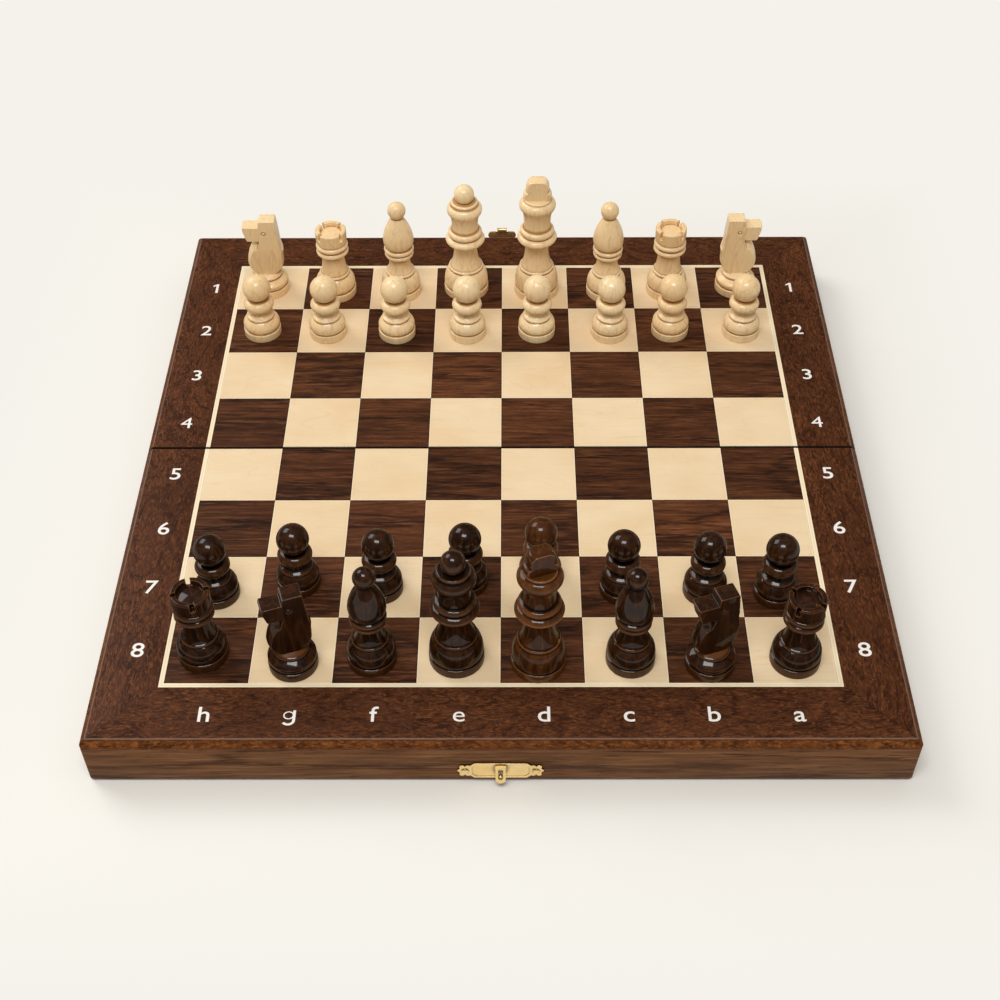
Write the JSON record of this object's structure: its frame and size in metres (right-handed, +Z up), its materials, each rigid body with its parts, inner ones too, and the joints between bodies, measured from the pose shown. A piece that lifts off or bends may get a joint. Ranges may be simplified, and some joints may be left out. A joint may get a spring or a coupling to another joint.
{
  "type": "folding chess set",
  "caption": "Wooden chess box of hinged trays that open flat into an inlaid board, with brass hasp and catch and turned men standing in their starting rows.",
  "frame": {"origin": "on the table, under the middle of the seam between the two trays", "axes": "+X along the seam to the right of the player of the dark men, +Y from that player towards the other, +Z up"},
  "size_m": [0.35, 0.3584, 0.0994],
  "materials": {
    "panel_wood": "satin lacquer, grain along the edge",
    "wall_wood": "satin lacquer, brown",
    "border_veneer": "satin lacquer, dark figured walnut",
    "dark_veneer": "satin lacquer, dark walnut",
    "light_veneer": "satin lacquer, pale maple",
    "felt": "green felt",
    "brass": "polished stamped brass",
    "light_men": "polished boxwood",
    "dark_men": "polished, stained nearly black"
  },
  "bodies": {
    "near_half": {"near_panel": "panel_wood", "near_front_wall": "wall_wood", "near_side_walls": "wall_wood", "near_hinge_wall": "wall_wood", "near_lining": "felt", "near_light_squares": "light_veneer", "near_dark_squares": "dark_veneer", "near_line": "light_veneer", "near_border": "border_veneer", "near_hinge_leaves": "brass", "near_screws": "brass", "hinge_pins": "brass", "catch_plate": "brass", "catch_loop": "brass"},
    "far_half": {"far_panel": "panel_wood", "far_back_wall": "wall_wood", "far_side_walls": "wall_wood", "far_hinge_wall": "wall_wood", "far_lining": "felt", "far_light_squares": "light_veneer", "far_dark_squares": "dark_veneer", "far_line": "light_veneer", "far_border": "border_veneer", "far_hinge_leaves": "brass", "far_screws": "brass", "hasp_plate": "brass", "hasp_pin": "brass"},
    "hasp": {"hasp": "brass"},
    "light_knight_h": {"light_knight_h": "light_men"},
    "light_rook_g": {"light_rook_g": "light_men"},
    "light_bishop_f": {"light_bishop_f": "light_men"},
    "light_queen": {"light_queen": "light_men"},
    "light_king": {"light_king": "light_men"},
    "light_bishop_c": {"light_bishop_c": "light_men"},
    "light_rook_b": {"light_rook_b": "light_men"},
    "light_knight_a": {"light_knight_a": "light_men"},
    "light_pawn_h": {"light_pawn_h": "light_men"},
    "light_pawn_g": {"light_pawn_g": "light_men"},
    "light_pawn_f": {"light_pawn_f": "light_men"},
    "light_pawn_e": {"light_pawn_e": "light_men"},
    "light_pawn_d": {"light_pawn_d": "light_men"},
    "light_pawn_c": {"light_pawn_c": "light_men"},
    "light_pawn_b": {"light_pawn_b": "light_men"},
    "light_pawn_a": {"light_pawn_a": "light_men"},
    "dark_pawn_h": {"dark_pawn_h": "dark_men"},
    "dark_pawn_g": {"dark_pawn_g": "dark_men"},
    "dark_pawn_f": {"dark_pawn_f": "dark_men"},
    "dark_pawn_e": {"dark_pawn_e": "dark_men"},
    "dark_pawn_d": {"dark_pawn_d": "dark_men"},
    "dark_pawn_c": {"dark_pawn_c": "dark_men"},
    "dark_pawn_b": {"dark_pawn_b": "dark_men"},
    "dark_pawn_a": {"dark_pawn_a": "dark_men"},
    "dark_rook_h": {"dark_rook_h": "dark_men"},
    "dark_knight_g": {"dark_knight_g": "dark_men"},
    "dark_bishop_f": {"dark_bishop_f": "dark_men"},
    "dark_queen": {"dark_queen": "dark_men"},
    "dark_king": {"dark_king": "dark_men"},
    "dark_bishop_c": {"dark_bishop_c": "dark_men"},
    "dark_knight_b": {"dark_knight_b": "dark_men"},
    "dark_rook_a": {"dark_rook_a": "dark_men"}
  },
  "joints": [
    {"name": "board_fold", "type": "hinge", "parent": "near_half", "child": "far_half", "pos_m": [0, 0, 0.00125], "axis": [-1, 0, 0], "range_deg": [0, 180]},
    {"name": "hasp_swing", "type": "hinge", "parent": "far_half", "child": "hasp", "pos_m": [0, 0.1778, 0.0064], "axis": [-1, 0, 0], "range_deg": [0, 180]},
    {"name": "lift_light_knight_h", "type": "slide", "parent": "far_half", "child": "light_knight_h", "axis": [0, 0, 1], "range_m": [0, 0.09]},
    {"name": "lift_light_rook_g", "type": "slide", "parent": "far_half", "child": "light_rook_g", "axis": [0, 0, 1], "range_m": [0, 0.09]},
    {"name": "lift_light_bishop_f", "type": "slide", "parent": "far_half", "child": "light_bishop_f", "axis": [0, 0, 1], "range_m": [0, 0.09]},
    {"name": "lift_light_queen", "type": "slide", "parent": "far_half", "child": "light_queen", "axis": [0, 0, 1], "range_m": [0, 0.09]},
    {"name": "lift_light_king", "type": "slide", "parent": "far_half", "child": "light_king", "axis": [0, 0, 1], "range_m": [0, 0.09]},
    {"name": "lift_light_bishop_c", "type": "slide", "parent": "far_half", "child": "light_bishop_c", "axis": [0, 0, 1], "range_m": [0, 0.09]},
    {"name": "lift_light_rook_b", "type": "slide", "parent": "far_half", "child": "light_rook_b", "axis": [0, 0, 1], "range_m": [0, 0.09]},
    {"name": "lift_light_knight_a", "type": "slide", "parent": "far_half", "child": "light_knight_a", "axis": [0, 0, 1], "range_m": [0, 0.09]},
    {"name": "lift_light_pawn_h", "type": "slide", "parent": "far_half", "child": "light_pawn_h", "axis": [0, 0, 1], "range_m": [0, 0.09]},
    {"name": "lift_light_pawn_g", "type": "slide", "parent": "far_half", "child": "light_pawn_g", "axis": [0, 0, 1], "range_m": [0, 0.09]},
    {"name": "lift_light_pawn_f", "type": "slide", "parent": "far_half", "child": "light_pawn_f", "axis": [0, 0, 1], "range_m": [0, 0.09]},
    {"name": "lift_light_pawn_e", "type": "slide", "parent": "far_half", "child": "light_pawn_e", "axis": [0, 0, 1], "range_m": [0, 0.09]},
    {"name": "lift_light_pawn_d", "type": "slide", "parent": "far_half", "child": "light_pawn_d", "axis": [0, 0, 1], "range_m": [0, 0.09]},
    {"name": "lift_light_pawn_c", "type": "slide", "parent": "far_half", "child": "light_pawn_c", "axis": [0, 0, 1], "range_m": [0, 0.09]},
    {"name": "lift_light_pawn_b", "type": "slide", "parent": "far_half", "child": "light_pawn_b", "axis": [0, 0, 1], "range_m": [0, 0.09]},
    {"name": "lift_light_pawn_a", "type": "slide", "parent": "far_half", "child": "light_pawn_a", "axis": [0, 0, 1], "range_m": [0, 0.09]},
    {"name": "lift_dark_pawn_h", "type": "slide", "parent": "near_half", "child": "dark_pawn_h", "axis": [0, 0, 1], "range_m": [0, 0.09]},
    {"name": "lift_dark_pawn_g", "type": "slide", "parent": "near_half", "child": "dark_pawn_g", "axis": [0, 0, 1], "range_m": [0, 0.09]},
    {"name": "lift_dark_pawn_f", "type": "slide", "parent": "near_half", "child": "dark_pawn_f", "axis": [0, 0, 1], "range_m": [0, 0.09]},
    {"name": "lift_dark_pawn_e", "type": "slide", "parent": "near_half", "child": "dark_pawn_e", "axis": [0, 0, 1], "range_m": [0, 0.09]},
    {"name": "lift_dark_pawn_d", "type": "slide", "parent": "near_half", "child": "dark_pawn_d", "axis": [0, 0, 1], "range_m": [0, 0.09]},
    {"name": "lift_dark_pawn_c", "type": "slide", "parent": "near_half", "child": "dark_pawn_c", "axis": [0, 0, 1], "range_m": [0, 0.09]},
    {"name": "lift_dark_pawn_b", "type": "slide", "parent": "near_half", "child": "dark_pawn_b", "axis": [0, 0, 1], "range_m": [0, 0.09]},
    {"name": "lift_dark_pawn_a", "type": "slide", "parent": "near_half", "child": "dark_pawn_a", "axis": [0, 0, 1], "range_m": [0, 0.09]},
    {"name": "lift_dark_rook_h", "type": "slide", "parent": "near_half", "child": "dark_rook_h", "axis": [0, 0, 1], "range_m": [0, 0.09]},
    {"name": "lift_dark_knight_g", "type": "slide", "parent": "near_half", "child": "dark_knight_g", "axis": [0, 0, 1], "range_m": [0, 0.09]},
    {"name": "lift_dark_bishop_f", "type": "slide", "parent": "near_half", "child": "dark_bishop_f", "axis": [0, 0, 1], "range_m": [0, 0.09]},
    {"name": "lift_dark_queen", "type": "slide", "parent": "near_half", "child": "dark_queen", "axis": [0, 0, 1], "range_m": [0, 0.09]},
    {"name": "lift_dark_king", "type": "slide", "parent": "near_half", "child": "dark_king", "axis": [0, 0, 1], "range_m": [0, 0.09]},
    {"name": "lift_dark_bishop_c", "type": "slide", "parent": "near_half", "child": "dark_bishop_c", "axis": [0, 0, 1], "range_m": [0, 0.09]},
    {"name": "lift_dark_knight_b", "type": "slide", "parent": "near_half", "child": "dark_knight_b", "axis": [0, 0, 1], "range_m": [0, 0.09]},
    {"name": "lift_dark_rook_a", "type": "slide", "parent": "near_half", "child": "dark_rook_a", "axis": [0, 0, 1], "range_m": [0, 0.09]}
  ]
}
